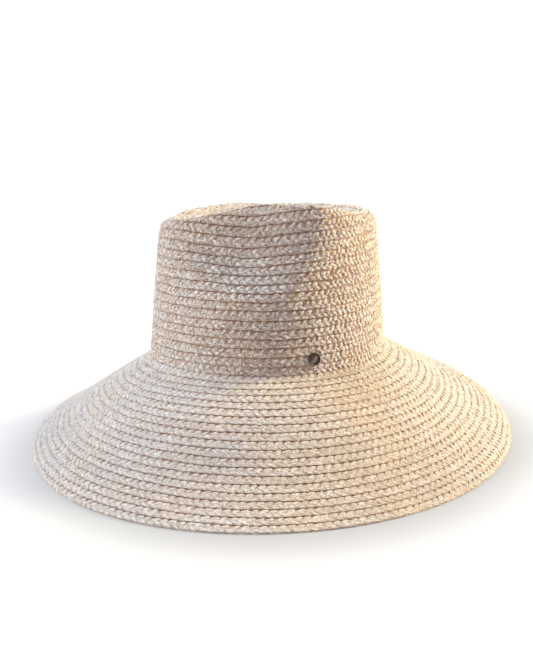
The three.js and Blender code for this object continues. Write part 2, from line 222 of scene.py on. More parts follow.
class Form:
    """A surface by row coordinate and turn, with its outward normals."""

    def __init__(self, S, up, flip=False, offset=0.0):
        self.up = up
        N = normals(S, up)
        N[-1] = N[-2] if up > 0 else N[-1]
        if up > 0:
            pole = N[-4].mean(0)
            N[-3:] = pole / np.linalg.norm(pole)
        # soften the normals a little, so that offsets stay clean at the dent's crease
        for _ in range(3):
            N = N + .5 * (np.roll(N, 1, 1) + np.roll(N, -1, 1))
            N /= np.linalg.norm(N, axis=-1, keepdims=True)
        self.S = S - N * offset
        self.N = -N if flip else N
        self.rows = S.shape[0]
        self.warp = np.zeros(((self.rows - 1) // SUB + 2, NT))

    def _mix(self, A, r, th):
        x = np.clip(r * SUB, 0, self.rows - 1.001)
        i = x.astype(int)
        f = (x - i)[..., None]
        y = ((th + np.pi) / (2 * np.pi) * NT) % NT
        j = y.astype(int) % NT
        g = (y - np.floor(y))[..., None]
        k = (j + 1) % NT
        return ((A[i, j] * (1 - g) + A[i, k] * g) * (1 - f) + (A[i + 1, j] * (1 - g) + A[i + 1, k] * g) * f)

    def wander(self, r, th):
        """Where a row coordinate really lies: the row lines waver a little."""
        k = np.clip(r.astype(int), 0, self.warp.shape[0] - 2)
        f = r - k
        y = ((th + np.pi) / (2 * np.pi) * NT) % NT
        j = y.astype(int) % NT
        g = y - np.floor(y)
        i = (j + 1) % NT
        return r + ((self.warp[k, j] * (1 - g) + self.warp[k, i] * g) * (1 - f)
                    + (self.warp[k + 1, j] * (1 - g) + self.warp[k + 1, i] * g) * f)

    def at(self, r, th, h):
        r = self.wander(r, th)
        n = self._mix(self.N, r, th)
        return self._mix(self.S, r, th) + n * np.asarray(h)[..., None]

    def pitch(self, r, th):
        a, b = np.clip(r - .25, 0, None), r + .25
        return np.linalg.norm(self._mix(self.S, b, th) - self._mix(self.S, a, th), axis=-1) / (b - a)

    def turn_mm(self, r, th):
        d = .01
        return np.linalg.norm(self._mix(self.S, r, th + d) - self._mix(self.S, r, th - d), axis=-1) / (2 * d)


crown_S, brim_S = crown_form(), brim_form()
BRIM_TOP = Form(brim_S, -1)
BRIM_UNDER = Form(brim_S, -1, flip=True, offset=WALL)
CROWN_OUT = Form(crown_S, 1)
CROWN_IN = Form(crown_S, 1, flip=True, offset=WALL)



def waver(count, ends, seed):
    """Row lines' wandering in rows: a few slow waves and some shorter ones, none at the ends."""
    rng = np.random.default_rng(seed)
    W = np.zeros((count, NT))
    for k in range(count):
        if k in ends:
            continue
        for m, a in ((3, .016), (7, .018), (13, .018), (21, .016), (34, .014), (55, .010)):
            m = m + int(rng.integers(-1, 2))
            W[k] += a * rng.normal(1, .3) * np.sin(m * TH + rng.uniform(0, 2 * np.pi))
    return W


BRIM_TOP.warp = BRIM_UNDER.warp = waver(BRIM_TOP.warp.shape[0], (0, BRIM_ROWS, BRIM_ROWS + 1), 21)
CROWN_OUT.warp = CROWN_IN.warp = waver(CROWN_OUT.warp.shape[0], (0, CROWN_ROWS, CROWN_ROWS + 1), 22)

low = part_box("crown")[0]
SHIFT = np.array([low[0] * 1000 + HALF_W, low[1] * 1000 + HALF_L, RIM_DROP + HEM_EDGE])


def metres(v):
    return (v + SHIFT) / 1000


# ---------------------------------------------------------------- mesh helpers
def new_mesh(name, verts, quads, attrs=None, uv=None, tris=None):
    me = bpy.data.meshes.new(name)
    nq = len(quads)
    nt = 0 if tris is None else len(tris)
    me.vertices.add(len(verts))
    me.vertices.foreach_set("co", np.asarray(verts, np.float32).ravel())
    loops = np.asarray(quads, np.int32).ravel()
    if nt:
        loops = np.concatenate([loops, np.asarray(tris, np.int32).ravel()])
    me.loops.add(len(loops))
    me.loops.foreach_set("vertex_index", loops)
    me.polygons.add(nq + nt)
    starts = np.concatenate([np.arange(nq) * 4, nq * 4 + np.arange(nt) * 3]).astype(np.int32)
    me.polygons.foreach_set("loop_start", starts)
    me.update(calc_edges=True)
    me.validate()
    for key, val in (attrs or {}).items():
        val = np.asarray(val, np.float32)
        kind = "FLOAT" if val.ndim == 1 else "FLOAT_VECTOR"
        a = me.attributes.new(key, kind, "POINT")
        a.data.foreach_set("value" if val.ndim == 1 else "vector", val.ravel())
    if uv is not None:
        layer = me.uv_layers.new(name="OFBake")
        idx = np.zeros(len(me.loops), np.int32)
        me.loops.foreach_get("vertex_index", idx)
        layer.data.foreach_set("uv", np.asarray(uv, np.float32)[idx].ravel())
    me.polygons.foreach_set("use_smooth", np.ones(len(me.polygons), bool))
    ob = bpy.data.objects.new(name, me)
    bpy.context.scene.collection.objects.link(ob)
    return ob


# ---------------------------------------------------------------- the plait
PERIOD = 5.8
# painted light and shade: how much lighter the brim's straw is painted than the crown's, by degrees from the front,
# left negative
FACE = [-180, -120, -70, -30, 0, 20, 40, 58, 80, 110, 180]
FACE_PAINTED_LIGHT = [.06, .18, .26, .18, -.06, -.26, -.36, -.20, .12, .22, .06]
# patches of painted light (+) and painted shade (-) on the straw. Columns: degrees from the front and their spread,
# row and its spread, amount
CROWN_PAINTED_LIGHT = [(-10, 20, 9.4, 2.0, .58), (-8, 22, 15.0, 2.2, -.34), (-41, 10, 11.5, 2.2, -.26), (78, 34, 8, 30, .40)]
BRIM_PAINTED_LIGHT = [(-28, 18, 4.5, 3.5, .28), (8, 45, 15.5, 3.5, -.16), (80, 28, 9, 9, .36)]


def painted_light_patches(table, face, row):
    """Painted light and shade on the straw, by row and degrees from the front."""
    return sum(a * np.exp(-((face - f) / df)**2 - ((row - r) / dr)**2) for f, df, r, dr, a in table)
FLAT = {1: 1.0, -1: .22}         # how much of a leaf's relief shows
GRIT = {1: 1.0, -1: .48}        # how rough the straw's surface is: crown, brim
STUD_TH = math.radians(STUD_ANGLE - 90)
STUD_ROW = float(np.interp(STUD_ARC, ROW_ARC, np.arange(len(ROW_ARC))))
STUD_AT = CROWN_OUT.at(np.array([STUD_ROW]), np.array([STUD_TH]), np.array([0.0]))[0]

# height of a row's skin, from its upper edge tucked under the row above, v = 0, to its lower edge, v = 1
SKIN_V = [-.20, .00, .05, .10, .20, .42, .70, .88, .95, .99, 1.04]
SKIN_H = [-1.20, -.82, -.56, -.42, -.33, -.26, -.17, -.12, -.15, -.34, -1.00]
BED_V = [-.20, .00, .05, .12, .26, .50, .86, .94, .985, 1.04]
BED_H = [-1.60, -1.25, -1.05, -.66, -.46, -.36, -.25, -.28, -.60, -1.10]


def shingle(v, first=False, side=0.0):
    """Row skin height in millimetres; the row next to the crown's foot is hardly tucked."""
    h = np.maximum(np.interp(v, SKIN_V, SKIN_H), -1.2 + .86 * side)
    return np.maximum(h, -.30) + (.55 * np.clip(1 - v / .14, 0, 1) if first < 0 else
                                  .50 * np.clip((v - .86) / .14, 0, 1)) if first else h


def bed(v, first=False, side=0.0):
    """Height of the tape that the leaves lie on."""
    h = np.maximum(np.interp(v, BED_V, BED_H), -1.6 + 1.05 * side) - .12 * side
    return np.maximum(h, -.48) if first else h


def tight(form, th, r):
    """0 where the rows show as separate bands, towards 1 at the sides, where the braid is drawn tight and
    its strands stand up so far that the rows' edges are nearly lost among them. There it also thins the painted shade
    in the grooves, where the side lights fill them."""
    x = np.cos(th)
    if form in (BRIM_UNDER, CROWN_IN):
        return 0 * x
    x = x * (1 - .45 * smooth((np.sin(th) - .30) / .5))
    if form.up > 0:
        wall = 1 - smooth((np.asarray(r) - 16.5) / 2.5)
        return wall * np.maximum(.90 * smooth((x - .22) / .40), .55 * smooth((-x - .58) / .36))
    return np.maximum(.60 * smooth((x - .40) / .40) + .22 * smooth((x - .80) / .15), .68 * smooth((-x - .58) / .26))


def plait(form, rows, nx, ny, kind, amount=1.0, seed=0):
    """The leaves of a flat plait on each row. Each period has an upper leaf that leans one way and a
    lower leaf that leans the other; both sink at their ends, where they pass under the next strand."""
    rng = np.random.default_rng(900 + seed)
    R, T, A, B, AL, HT, TONE_AND_PAINTED_LIGHT, TILT, WHICH = [], [], [], [], [], [], [], [], []
    fine = np.linspace(-np.pi, np.pi, 1441)
    for k in rows:
        mid = k + .5
        ring = form.at(np.full(fine.shape, mid), fine, np.zeros(fine.shape))
        s = np.concatenate([[0], np.cumsum(np.linalg.norm(np.diff(ring, axis=0), axis=-1))])
        if form.up > 0:
            dense = 1 + .34 * tight(form, (fine[1:] + fine[:-1]) / 2, mid)
            s = np.concatenate([[0], np.cumsum(np.diff(s) * dense)])
        n = max(5, int(round(s[-1] / PERIOD)))
        step = s[-1] / n
        phase = rng.uniform(0, step)
        slow = np.cumsum(rng.normal(0, .12, n))
        slow -= np.linspace(slow[0], slow[-1], n)
        row_tone = rng.normal(0, .035)
        drift = np.convolve(np.tile(rng.normal(0, 1, n), 3), np.ones(9) / 9, "same")[n:2 * n] * .16
        for which in (0, 1):
            c = (np.arange(n) + .42 * which) * step + phase + slow + rng.normal(0, .26, n)
            c = c % s[-1]
            th = np.interp(c, s, fine)
            p = form.pitch(np.full(n, mid), th)
            sd = tight(form, th, mid)
            v = (.305 if which == 0 else .725) + rng.normal(0, 1, n) * (.020 + .030 * sd)
            small = 1 / (1 + .34 * sd) if form.up > 0 else 1.0
            r = (k + 1 - v) if form.up > 0 else (k + v)
            near = min(1.0, step / PERIOD)
            a = (np.where(which == 0, 3.35, 3.75 - .4 * sd) * (1 + rng.normal(0, .09, n))) * near * small
            b = (np.where(which == 0, 1.78, 1.46 + .3 * sd) * (1 + rng.normal(0, .13, n))) * near * small**.5
            al = np.radians(np.where(which == 0, 40 - 6 * sd, -20 - 14 * sd) + rng.normal(0, 1, n) * (9 + 9 * sd))
            a = a * (p / 6.3)**.6
            R.append(r); T.append(th); A.append(a); B.append(b); AL.append(al)
            HT.append((np.where(which == 0, .47, .30 + .12 * sd) + rng.normal(0, .11, n)) * amount)
            # painted light and shade round the hat, added to each leaf's random tone
            face = np.degrees((th + np.pi / 2 + np.pi) % (2 * np.pi) - np.pi)
            if form.up > 0:
                base = painted_light_patches(CROWN_PAINTED_LIGHT, face, k)
            else:
                base = np.interp(face, FACE, FACE_PAINTED_LIGHT) + painted_light_patches(BRIM_PAINTED_LIGHT, face, k)
            TONE_AND_PAINTED_LIGHT.append(np.clip(.5 + base + row_tone + drift + rng.normal(0, .10 if form.up > 0 else .075, n), 0, 1))
            TILT.append(rng.normal(.11, .07, n) * np.where(which == 0, 1, -.4))
            WHICH.append(np.full(n, which, float))
    R, T, A, B, AL, HT, TONE_AND_PAINTED_LIGHT, TILT, WHICH = map(np.concatenate, (R, T, A, B, AL, HT, TONE_AND_PAINTED_LIGHT, TILT, WHICH))
    n = len(R)
    xi = np.linspace(-1, 1, nx)
    xi = np.sign(xi) * np.abs(xi)**.85
    eta = {3: [-1, 0, 1], 4: [-1, -.42, .42, 1], 5: [-1, -.55, 0, .55, 1]}[ny]
    X, Y = [q.ravel() for q in np.meshgrid(xi, np.array(eta, float), indexing="ij")]
    bend = rng.normal(0, .14, n)[:, None]
    taper = rng.normal(0, .10, n)[:, None]
    w = (1 - np.abs(X)**2.6 * .72)[None] * (1 + taper * X[None])
    lx = A[:, None] * X[None]
    ly = B[:, None] * w * Y[None] + bend * (1 - X[None]**2) * 1.1
    ca, sa = np.cos(AL)[:, None], np.sin(AL)[:, None]
    du = lx * ca - ly * sa
    dv = lx * sa + ly * ca
    pm = form.pitch(R, T)[:, None]
    tm = form.turn_mm(R, T)[:, None]
    th = T[:, None] + du / np.maximum(tm, 2.5)
    r = R[:, None] + form.up * dv / pm
    k = np.floor(R)[:, None]
    v = (k + 1 - r) if form.up > 0 else (r - k)
    # a leaf stays inside its own row: its skin turns under at the row's lower edge
    side = tight(form, th, r)
    inner = (k < BRIM_ROWS - 1) | (form.up > 0)
    v = np.where(v > .96, .96 + (v - .96) * (.25 + .75 * side * inner), v)
    v = np.where(v < .05, .05 + (v - .05) * .4, v)
    r = (k + 1 - v) if form.up > 0 else (k + v)
    if form.up > 0:
        r = np.clip(r, 0.0, CROWN_ROWS - .02)
    else:
        r = np.clip(r, 0.0, BRIM_ROWS + .10)
    dome = (1 - np.abs(Y)**2.4)[None] * (1 - np.abs(X)**3.2)[None]
    sink = .40 * np.abs(X)[None]**4 + .13 * (np.abs(Y)[None] > .9)
    h = np.where(k == 0, shingle(v, form.up), shingle(v, False, side)) * amount
    flat = amount * (.35 + .65 * FLAT[form.up])
    h = h + HT[:, None] * (.35 + .65 * FLAT[form.up]) * (1 + .55 * side) * dome - sink * flat \
        + (TILT[:, None] * Y[None] + .06) * (1 - X[None]**2) * flat
    P = form.at(r, th, h)
    if kind == "crown_out":
        d = np.linalg.norm(P - STUD_AT, axis=-1)
        press = smooth((d - STUD_R) / 3.2)
        h = np.where(press < 1, np.minimum(h, -.10 + (h + .10) * press), h)
        P = form.at(r, th, h)
    P[..., 2] = np.maximum(P[..., 2], -RIM_DROP - HEM_EDGE + .05)
    q0 = (np.arange(nx - 1)[:, None] * ny + np.arange(ny - 1)[None]).ravel()
    quad = np.stack([q0, q0 + ny, q0 + ny + 1, q0 + 1], -1)
    quads = (quad[None] + (np.arange(n) * nx * ny)[:, None, None]).reshape(-1, 4)
    pts = P.reshape(-1, 3)
    # faces look out: compare a face of each leaf with the form's normal
    f = quads[quad.shape[0] // 2::quad.shape[0]]
    fn = np.cross(pts[f[:, 1]] - pts[f[:, 0]], pts[f[:, 3]] - pts[f[:, 0]])
    if np.median(np.sum(fn * form._mix(form.N, R, T), -1)) < 0:
        quads = quads[:, ::-1]
    rnd = rng.uniform(0, 1, n)[:, None] + 0 * lx
    # painted shade at a leaf's ends and sides, where it passes under the next strand; fainter on the brim and at its
    # lit sides
    under_strand_shade = np.clip(np.maximum(.9 * np.abs(X)[None]**6 + 0 * lx, .60 * np.abs(Y)[None]**8 + 0 * lx), 0, 1)
    # the grooves between rows: the tape's own brown and painted shade, less at the sides, where the side lights fill
    # them, and on the brim near the crown
    groove_brown_and_shade = np.maximum(.8 * (1 - smooth((v - .0) / .06)), .8 * smooth((v - .965) / .05)) * (k > 0)
    groove_brown_and_shade = groove_brown_and_shade * (1 - .85 * side) * (1 - .40 * np.exp(-(k / 4.5)**2) * (form.up < 0))
    under_strand_shade = under_strand_shade * (1.0 if form.up > 0 else .36 * (1 - .5 * side))
    attrs = {
        "tone_and_painted_light": (TONE_AND_PAINTED_LIGHT[:, None] + 0 * lx).ravel(),
        "fibre": np.stack([lx.ravel(), ly.ravel(), rnd.ravel() * 50], -1),
        "under_strand_shade": under_strand_shade.ravel(),
        "groove_brown_and_shade": groove_brown_and_shade.ravel(),
        "grit": np.full(lx.size, GRIT[form.up]),
    }
    # a cell of its own for each leaf in the bake map
    gx = int(math.ceil(math.sqrt(n / 1.7)))
    gy = int(math.ceil(n / gx))
    i = np.arange(n)
    u = ((i % gx)[:, None] + .5 + .42 * X[None]) / gx
    vv = ((i // gx)[:, None] + .5 + .42 * Y[None]) / gy
    uv = np.stack([u.ravel(), vv.ravel()], -1)
    return metres(pts), quads, attrs, uv, n


TAPE_V = [.00, .08, .16, .30, .55, .93, .985]
TAPE_V_IN = [.00, .16, .60, .94]


def tape(out_form, in_form, rows, nt):
    """The tape under the leaves: one closed shell, stepped row by row on both faces."""
    th = -np.pi + 2 * np.pi * np.arange(nt) / nt

    def rings(form, vs, amount):
        res = []
        for k in rows:
            for v in vs:
                r = (k + 1 - v) if form.up > 0 else (k + v)
                res.append((r, bed(v, k == 0, tight(form, th, r)) * amount, v, k))
        res.sort(key=lambda q: q[0])
        return res
    up = out_form.up > 0
    last = CROWN_ROWS - .15 if up else BRIM_ROWS - .02
    a = [x for x in rings(out_form, TAPE_V, 1.0) if .01 < x[0] < last - (.4 if up else .03)]
    b = [x for x in rings(in_form, TAPE_V_IN, .8) if .01 < x[0] < last - (.4 if up else .03)][::-1]
    a = [(0.0, -.10, .5, 0)] + a + [(last, -.6, .9, rows[-1])]
    b = [(last, -.5, .9, rows[-1])] + b + [(0.0, -.10, .5, 0)]
    P, S, tape_groove_shade = [], [], []
    for form, seq in ((out_form, a), (in_form, b)):
        for r, h, v, k in seq:
            P.append(form.at(np.full(nt, r), th, np.zeros(nt) + h))
            seg = np.linalg.norm(P[-1] - np.roll(P[-1], 1, 0), axis=-1)
            S.append(np.stack([np.cumsum(seg), np.full(nt, r * 6.3), np.full(nt, k * 7.3)], -1))
            sd = tight(form, th, r)
            # the tape's brown and painted shade down in the grooves, less at the sides, where the side lights fill
            # them
            tape_groove_shade.append(float(np.interp(v, [0, .12, .26, .45, .93, .98], [1, .8, .42, .28, .28, .9])) * (1 - sd) + (.55 if out_form.up > 0 else .3) * sd)
    P = np.array(P)
    P[..., 2] = np.maximum(P[..., 2], -RIM_DROP - HEM_EDGE + .02)
    m, na = len(P), len(a)
    j = np.arange(nt)
    jn = (j + 1) % nt
    quads = []
    for k in range(m):
        if up and k == na - 1:
            continue          # the pole closes here
        kn = (k + 1) % m
        quads.append(np.stack([k * nt + j, k * nt + jn, kn * nt + jn, kn * nt + j], -1))
    quads = np.concatenate(quads)
    pts, fib, groove_brown_and_shade = P.reshape(-1, 3), np.array(S).reshape(-1, 3), np.array(tape_groove_shade).ravel()
    uv = np.stack([np.tile((np.arange(nt) + .5) / nt, m), np.repeat((np.arange(m) + .5) / (m + 1), nt)], -1)
    if up:
        pts = np.vstack([pts, P[na - 1].mean(0), P[na].mean(0)])
        fib = np.vstack([fib, fib[-2:]])
        groove_brown_and_shade = np.append(groove_brown_and_shade, [0, 0])
        i0, i1 = m * nt, m * nt + 1
        tris = np.concatenate([np.stack([(na - 1) * nt + j, (na - 1) * nt + jn, np.full(nt, i0)], -1),
                               np.stack([na * nt + jn, na * nt + j, np.full(nt, i1)], -1)])
        uv = np.vstack([uv, [[.5, (na - .2) / (m + 1)], [.5, (na + .2) / (m + 1)]]])
    else:
        tris = np.zeros((0, 3), int)
        quads = quads[:, ::-1]
    # the tape gets a little painted shade in spots
    attrs = {"tone_and_painted_light": np.full(len(pts), .40), "fibre": fib, "under_strand_shade": np.full(len(pts), .22), "groove_brown_and_shade": groove_brown_and_shade,
             "grit": np.full(len(pts), GRIT[out_form.up])}
    return metres(pts), quads, tris, attrs, uv


# ---------------------------------------------------------------- node helpers
def material(name):
    m = bpy.data.materials.new(name)
    m.use_nodes = True
    nt = m.node_tree
    return m, nt, nt.nodes["Principled BSDF"]


def node(nt, kind, **sets):
    n = nt.nodes.new(kind)
    for k, v in sets.items():
        if k.startswith("i_"):
            n.inputs[k[2:]].default_value = v
        else:
            setattr(n, k, v)
    return n


def ramp(nt, stops, fac=None):
    n = nt.nodes.new("ShaderNodeValToRGB")
    e = n.color_ramp.elements
    while len(e) > 1:
        e.remove(e[-1])
    e[0].position, e[0].color = stops[0][0], (*stops[0][1], 1)
    for p, c in stops[1:]:
        x = e.new(p)
        x.color = (*c, 1)
    if fac is not None:
        nt.links.new(fac, n.inputs["Fac"])
    return n


def mix(nt, a, b, fac, blend="MIX"):
    n = nt.nodes.new("ShaderNodeMix")
    n.data_type = "RGBA"
    n.blend_type = blend
    for sock, val in ((n.inputs["Factor"], fac), (n.inputs["A"], a), (n.inputs["B"], b)):
        if hasattr(val, "is_linked") or isinstance(val, bpy.types.NodeSocket):
            nt.links.new(val, sock)
        else:
            sock.default_value = val if not isinstance(val, tuple) else (*val, 1)
    return n.outputs["Result"]


def mathn(nt, op, a, b=0.0, c=None, clamp=False):
    n = nt.nodes.new("ShaderNodeMath")
    n.operation = op
    n.use_clamp = clamp
    for i, val in enumerate((a, b, c)):
        if val is None:
            continue
        if isinstance(val, bpy.types.NodeSocket):
            nt.links.new(val, n.inputs[i])
        else:
            n.inputs[i].default_value = val
    return n.outputs[0]


def attr(nt, name, out="Fac"):
    n = nt.nodes.new("ShaderNodeAttribute")
    n.attribute_name = name
    return n.outputs[out]


def spot(form, row, angle, h=.3):
    return tuple(metres(form.at(np.array([row]), np.array([math.radians(angle - 90)]), np.array([h])))[0])


# a yellow-green fleck, painted shade for a gap beside it, a dark speck near the foot, a grey-green husk near the hem
MARKS = [(spot(CROWN_OUT, 8.75, 13.9), .0025, (.42, .38, .11), .8),
         (spot(CROWN_OUT, 8.35, 12.6), .0018, (.45, .42, .15), .8),
         (spot(CROWN_OUT, 10.2, 15.6), .0014, (.12, .08, .06), .7),
         (spot(CROWN_OUT, 1.1, 7.6), .0013, (.06, .045, .04), .9),
         (spot(BRIM_TOP, 17.6, 21.0), .0017, (.25, .25, .19), .8)]


# ---------------------------------------------------------------- straw
def straw_material(name, dark=1.0):
    m, nt, bsdf = material(name)
    tone_and_painted_light, under_strand_shade, groove_brown_and_shade, grit = attr(nt, "tone_and_painted_light"), attr(nt, "under_strand_shade"), attr(nt, "groove_brown_and_shade"), attr(nt, "grit")
    fib = attr(nt, "fibre", "Vector")
    # each leaf's tone, which holds its random variation and the painted light and shade
    base = ramp(nt, [(0.0, (.64 * dark, .56 * dark, .48 * dark)), (.25, (.74 * dark, .675 * dark, .61 * dark)),
                     (.5, (.80 * dark, .75 * dark, .695 * dark)), (.78, (.845 * dark, .81 * dark, .765 * dark)),
                     (1.0, (.88 * dark, .86 * dark, .83 * dark))], tone_and_painted_light)
    # fibres run along each leaf: a stretched noise
    mp = node(nt, "ShaderNodeMapping")
    mp.inputs["Scale"].default_value = (.34, 1.45, 1.0)
    nt.links.new(fib, mp.inputs["Vector"])
    streak = node(nt, "ShaderNodeTexNoise", i_Scale=1.0, i_Detail=4.0, i_Roughness=.62)
    nt.links.new(mp.outputs[0], streak.inputs["Vector"])
    mp2 = node(nt, "ShaderNodeMapping")
    mp2.inputs["Scale"].default_value = (.28, .95, 1.0)
    nt.links.new(fib, mp2.inputs["Vector"])
    split = node(nt, "ShaderNodeTexNoise", i_Scale=1.0, i_Detail=2.0, i_Roughness=.5)
    nt.links.new(mp2.outputs[0], split.inputs["Vector"])
    # single fibres and their ends; the brightest grain, lifted above one, is painted glint
    mp3 = node(nt, "ShaderNodeMapping")
    mp3.inputs["Scale"].default_value = (.55, 2.3, 1.0)
    nt.links.new(fib, mp3.inputs["Vector"])
    grain = node(nt, "ShaderNodeTexNoise", i_Scale=1.0, i_Detail=1.0, i_Roughness=.5)
    nt.links.new(mp3.outputs[0], grain.inputs["Vector"])
    fibre_grain_and_glints = ramp(nt, [(.32, (.33, .26, .20)), (.43, (.86, .84, .82)), (.54, (1.05, 1.05, 1.05)), (.65, (1.40, 1.42, 1.44))],
              grain.outputs["Fac"])
    # thin dark lines where a strand's fibres part
    cleft = ramp(nt, [(.40, (1, 1, 1)), (.465, (.92, .91, .90)), (.50, (.50, .41, .34)), (.535, (.92, .91, .90)),
                      (.60, (1, 1, 1))], split.outputs["Fac"])
    s1 = ramp(nt, [(.32, (.48, .40, .33)), (.43, (.86, .83, .80)), (.55, (1.08, 1.08, 1.08)), (.70, (1.22, 1.22, 1.22))],
              streak.outputs["Fac"])
    col = mix(nt, base.outputs["Color"], s1.outputs["Color"], mathn(nt, "MULTIPLY_ADD", grit, .28, .44), "MULTIPLY")
    col = mix(nt, col, cleft.outputs["Color"], mathn(nt, "MULTIPLY_ADD", grit, .30, .44), "MULTIPLY")
    col = mix(nt, col, fibre_grain_and_glints.outputs["Color"], grit, "MULTIPLY")
    # broad patches where the straw is greyer or more golden
    tc = node(nt, "ShaderNodeTexCoord")
    patch = node(nt, "ShaderNodeTexNoise", i_Scale=26.0, i_Detail=3.0, i_Roughness=.6)
    nt.links.new(tc.outputs["Object"], patch.inputs["Vector"])
    pr = ramp(nt, [(.32, (1.03, .985, .92)), (.5, (1, 1, 1)), (.68, (.965, .985, 1.02))], patch.outputs["Fac"])
    col = mix(nt, col, pr.outputs["Color"], 1.0, "MULTIPLY")
    # fine speckle: bits of bark on the leaf
    sp = node(nt, "ShaderNodeTexNoise", i_Scale=900.0, i_Detail=2.0, i_Roughness=.7)
    nt.links.new(tc.outputs["Object"], sp.inputs["Vector"])
    spf = ramp(nt, [(.64, (0, 0, 0)), (.74, (1, 1, 1))], sp.outputs["Fac"])
    col = mix(nt, col, (.36 * dark, .25 * dark, .16 * dark), mathn(nt, "MULTIPLY", spf.outputs["Color"], .38))
    # painted shade: browner where a strand dives under the next, and down in the grooves
    pit_shade_noise = node(nt, "ShaderNodeTexNoise", i_Scale=340.0, i_Detail=1.0, i_Roughness=.5)
    nt.links.new(tc.outputs["Object"], pit_shade_noise.inputs["Vector"])
    pit_shade_mask = ramp(nt, [(.43, (.08, .08, .08)), (.56, (1, 1, 1))], pit_shade_noise.outputs["Fac"])
    col = mix(nt, col, (.24 * dark, .125 * dark, .068 * dark), mathn(nt, "MULTIPLY", under_strand_shade, pit_shade_mask.outputs["Color"]))
    # groove brown, partly the tape's own colour and partly painted shade
    groove_shade_factor = mathn(nt, "MULTIPLY", groove_brown_and_shade, mathn(nt, "MULTIPLY_ADD", pit_shade_mask.outputs["Color"], .35, .50))
    col = mix(nt, col, (.44 * dark, .215 * dark, .095 * dark), groove_shade_factor)
    # single marks in the straw
    for place, size, colour, weight in MARKS:
        dist = node(nt, "ShaderNodeVectorMath", operation="DISTANCE")
        nt.links.new(tc.outputs["Object"], dist.inputs[0])
        dist.inputs[1].default_value = place
        f = node(nt, "ShaderNodeMapRange", clamp=True)
        f.inputs["From Min"].default_value = size * .55
        f.inputs["From Max"].default_value = size
        f.inputs["To Min"].default_value = weight
        f.inputs["To Max"].default_value = 0
        nt.links.new(dist.outputs["Value"], f.inputs["Value"])
        col = mix(nt, col, colour, f.outputs["Result"])
    nt.links.new(col, bsdf.inputs["Base Color"])
    rough = mathn(nt, "MULTIPLY_ADD", streak.outputs["Fac"], .32, .44)
    nt.links.new(rough, bsdf.inputs["Roughness"])
    bsdf.inputs["Specular IOR Level"].default_value = .38
    bsdf.inputs["Sheen Weight"].default_value = .08
    bsdf.inputs["Sheen Roughness"].default_value = .5
    ht = mathn(nt, "MULTIPLY_ADD", split.outputs["Fac"], 1.0, mathn(nt, "MULTIPLY", streak.outputs["Fac"], .8))
    ht = mathn(nt, "MULTIPLY_ADD", grain.outputs["Fac"], .7, ht)
    bump = node(nt, "ShaderNodeBump", i_Strength=.9, i_Distance=.00045)
    nt.links.new(ht, bump.inputs["Height"])
    nt.links.new(bump.outputs[0], bsdf.inputs["Normal"])
    return m


STRAW = straw_material("straw")


def piece(ob, mat, slot, *nodes):
    ob.data.materials.append(mat)
    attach(ob, "root")
    if nodes:
        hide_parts(*nodes)
    return ob


counts = {}


def add_plait(name, form, rows, nx, ny, kind, amount, seed, *nodes):
    v, q, at, uv, n = plait(form, rows, nx, ny, kind, amount, seed)
    ob = new_mesh(name, v, q, at, uv)
    counts[name] = len(q) * 2
    return piece(ob, STRAW, "straw", *nodes)


add_plait("brim_plait_top", BRIM_TOP, range(BRIM_ROWS), 6, 4, "brim_top", .72, 1, "brim")
add_plait("brim_plait_under", BRIM_UNDER, range(BRIM_ROWS), 4, 3, "brim_under", .8, 2)
add_plait("crown_plait_outer", CROWN_OUT, range(CROWN_ROWS), 6, 4, "crown_out", 1.0, 3, "crown")
add_plait("crown_plait_inner", CROWN_IN, range(CROWN_ROWS), 4, 3, "crown_in", .8, 4)
for name, of, inf, rows in (("brim_tape", BRIM_TOP, BRIM_UNDER, range(BRIM_ROWS)),
                            ("crown_tape", CROWN_OUT, CROWN_IN, range(CROWN_ROWS))):
    v, q, t, at, uv = tape(of, inf, rows, 288)
    ob = new_mesh(name, v, q, at, uv, tris=t)
    counts[name] = len(q) * 2 + len(t)
    piece(ob, STRAW, "straw")

# ---------------------------------------------------------------- stud
def lathe(name, profile, seg):
    """A closed lathe round the wall's normal at the stud; profile runs [radius, height]."""
    n = CROWN_OUT._mix(CROWN_OUT.N, np.array([STUD_ROW]), np.array([STUD_TH]))[0]
    n = n / np.linalg.norm(n)
    e1 = np.cross(n, [0, 0, 1.0])
    e1 /= np.linalg.norm(e1)
    e2 = np.cross(n, e1)
    prof = np.array(profile)
    inner = prof[1:-1]
    a = 2 * np.pi * np.arange(seg) / seg
    c0 = STUD_AT + n * .3
    ring = c0 + inner[:, 0, None, None] * (np.cos(a)[None, :, None] * e1 + np.sin(a)[None, :, None] * e2) \
        + inner[:, 1, None, None] * n
    pts = np.vstack([ring.reshape(-1, 3), c0 + n * prof[0, 1], c0 + n * prof[-1, 1]])
    m = len(inner)
    j, jn = np.arange(seg), (np.arange(seg) + 1) % seg
    quads = np.concatenate([np.stack([k * seg + j, k * seg + jn, (k + 1) * seg + jn, (k + 1) * seg + j], -1)
                            for k in range(m - 1)])
    tris = np.concatenate([np.stack([jn, j, np.full(seg, m * seg)], -1),
                           np.stack([(m - 1) * seg + j, (m - 1) * seg + jn, np.full(seg, m * seg + 1)], -1)])
    f = quads[len(quads) // 2]
    fn = np.cross(pts[f[1]] - pts[f[0]], pts[f[3]] - pts[f[0]])
    rad = np.concatenate([np.repeat(inner[:, 0], seg), [0, 0]])
    mid = pts[f].mean(0) - c0
    if np.dot(fn, mid) < 0:
        quads, tris = quads[:, ::-1], tris[:, ::-1]
    return new_mesh(name, metres(pts), quads, {"rad": rad}, None, tris=tris)


